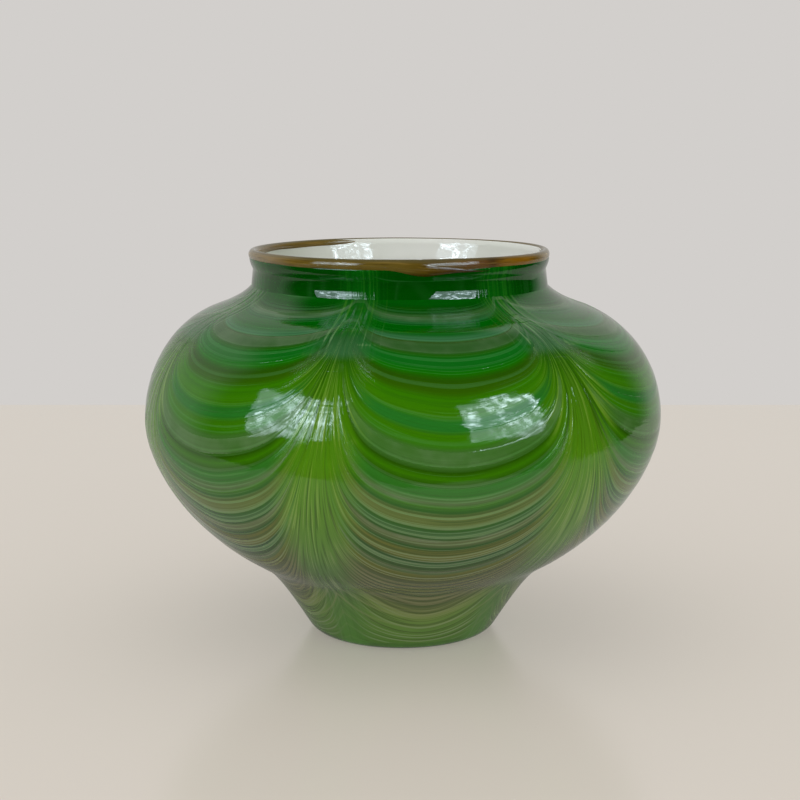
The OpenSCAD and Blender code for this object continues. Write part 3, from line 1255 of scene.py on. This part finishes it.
# Wide gaps between the trees, and small ones between the leaves: where noise passes into sky
GAP_SCALE, GAP_EDGE = 2.8, (0.4, 0.56)
LEAF_SCALE, LEAF_EDGE = 8.0, (0.48, 0.57)
# Soft lights: direction and rise in degrees, distance, width and height in metres, and power
SOFT_LIGHTS = {
    "soft_key": (-30, 62, 2.2, 2.4, 2.4, 7.0),
    "soft_fill": (5, 12, 2.0, 2.2, 0.9, 8.0),
}
AIM = (0.0, 0.0, 0.1)


def make_light(name, side, rise_up, distance, width, height, power, colour=(1, 1, 1)):
    """An area light that faces the vase from a side and a rise given in degrees."""
    data = bpy.data.lights.new(name, "AREA")
    data.shape = "RECTANGLE"
    data.size = width
    data.size_y = height
    data.energy = power
    data.color = colour
    light = bpy.data.objects.new(name, data)
    scene.collection.objects.link(light)
    side, rise_up = math.radians(side), math.radians(rise_up)
    level = math.cos(rise_up)
    out = np.array([math.sin(side) * level, -math.cos(side) * level, math.sin(rise_up)])
    light.location = distance * out + AIM
    light.rotation_euler = (math.pi / 2 - rise_up, 0.0, side)
    light.visible_camera = False
    return light


def make_windows():
    """Two windows with trees behind them, which show only as highlights in the glass."""
    size = (WINDOW_WIDTH, WINDOW_HEIGHT)
    for name, (side, rise_up) in WINDOWS.items():
        window = make_light(
            name, side, rise_up, WINDOW_DISTANCE, *size, WINDOW_POWER, WINDOW_TINT
        )
        window.visible_diffuse = False
        window.data.use_nodes = True
        tools = Nodes(window.data.node_tree)
        spot = tools.tree.nodes.new("ShaderNodeNewGeometry").outputs["Position"]
        height = tools.split(spot)[2]
        high = WINDOW_LOW + WINDOW_FADE
        sky = tools.span(height, WINDOW_LOW, high, LEAF_GLOW, SKY_GLOW, kind="LINEAR")
        gaps = tools.noise(spot, GAP_SCALE)
        sky = tools.blend(tools.span(gaps, *GAP_EDGE), LEAF_GLOW, sky)
        leaves = tools.noise(spot, LEAF_SCALE, detail=5, roughness=0.75)
        bright = tools.span(leaves, *LEAF_EDGE, LEAF_GLOW, sky)
        emission = next(node for node in tools.tree.nodes if node.type == "EMISSION")
        tools.put(emission.inputs["Strength"], bright)


def make_soft_lights():
    """Broad soft lights, which don't show in the glass: one above, one low in front."""
    for name, settings in SOFT_LIGHTS.items():
        light = make_light(name, *settings)
        light.visible_glossy = False


# ---------------------------------------------------------------- the whole scene

make_camera()
make_floor()
make_room()
make_windows()
make_soft_lights()

casing_glass = combed_glass("combed_green_glass")
trail_glass = {
    "umber_thread_glass": combed_glass("umber_thread_glass"),
    "tan_trail_glass": combed_glass("tan_trail_glass"),
    "teal_trail_glass": combed_glass("teal_trail_glass"),
    "silver_trail_glass": combed_glass("silver_trail_glass", milkiness=0.12),
}
pieces = [
    (make_casing(), casing_glass),
    (make_lining(), opal_glass()),
    (make_lip(), amber_glass()),
]
for node, (width, slot) in TRAILS.items():
    ribbon = make_trail(node, node + "_ribbon", trail_height(node, width), width)
    pieces.append((ribbon, trail_glass[slot]))
for piece, material in pieces:
    give(piece, material)
    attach(piece, "root")

scene.view_settings.view_transform = "Standard"
